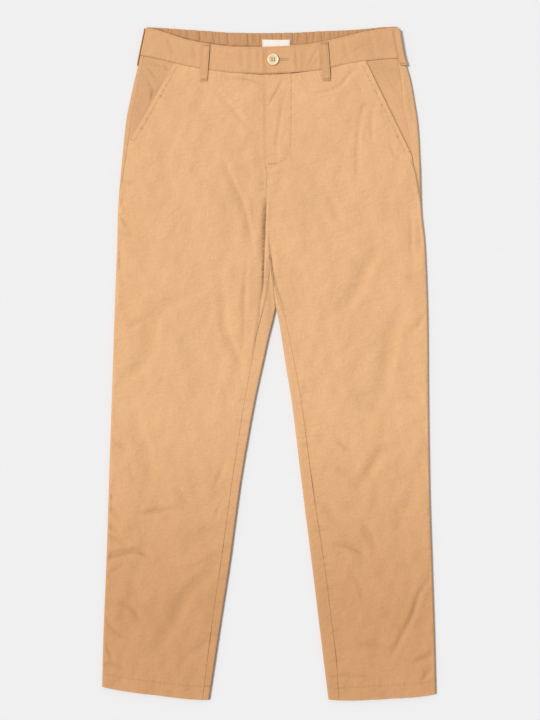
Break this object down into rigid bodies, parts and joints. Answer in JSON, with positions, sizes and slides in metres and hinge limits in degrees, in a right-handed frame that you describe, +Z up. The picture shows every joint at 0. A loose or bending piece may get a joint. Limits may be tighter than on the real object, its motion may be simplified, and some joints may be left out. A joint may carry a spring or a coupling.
{
  "type": "chino trousers",
  "caption": "Straight-leg chino trousers laid flat with the front up, buttoned at the waist, with slant pockets, belt loops and an elasticated back waistband.",
  "frame": {"origin": "under the middle of the garment's box, on the surface that it lies on", "axes": "+X towards the wearer's left side, +Y towards the waist, +Z up out of the front, away from the surface"},
  "size_m": [0.4962, 1.0018, 0.0128],
  "materials": {
    "cotton_twill": "sand-coloured cotton twill, matt, soft sheen, fine diagonal weave",
    "band_twill": "the same cotton twill, interlined, with topstitched edges",
    "pocketing": "plain-woven cotton pocketing and tape",
    "button_plastic": "cream polyester with a polished rim and a darker well",
    "label_tape": "blank woven tape, off-white"
  },
  "bodies": {
    "root": {"front_right": "cotton_twill", "front_left": "cotton_twill", "back_right": "cotton_twill", "back_left": "cotton_twill", "pocket_facing_right": "cotton_twill", "pocket_facing_left": "cotton_twill", "pocket_bag_right": "pocketing", "pocket_bag_left": "pocketing", "fly_shield": "cotton_twill", "zip_tape": "pocketing", "waistband_front_right": "band_twill", "waistband_front_left": "band_twill", "waistband_back": "band_twill", "belt_loop_front_right": "band_twill", "belt_loop_front_left": "band_twill", "belt_loop_side_left": "band_twill", "belt_loop_side_right": "band_twill", "label": "label_tape", "button": "button_plastic"}
  },
  "joints": []
}
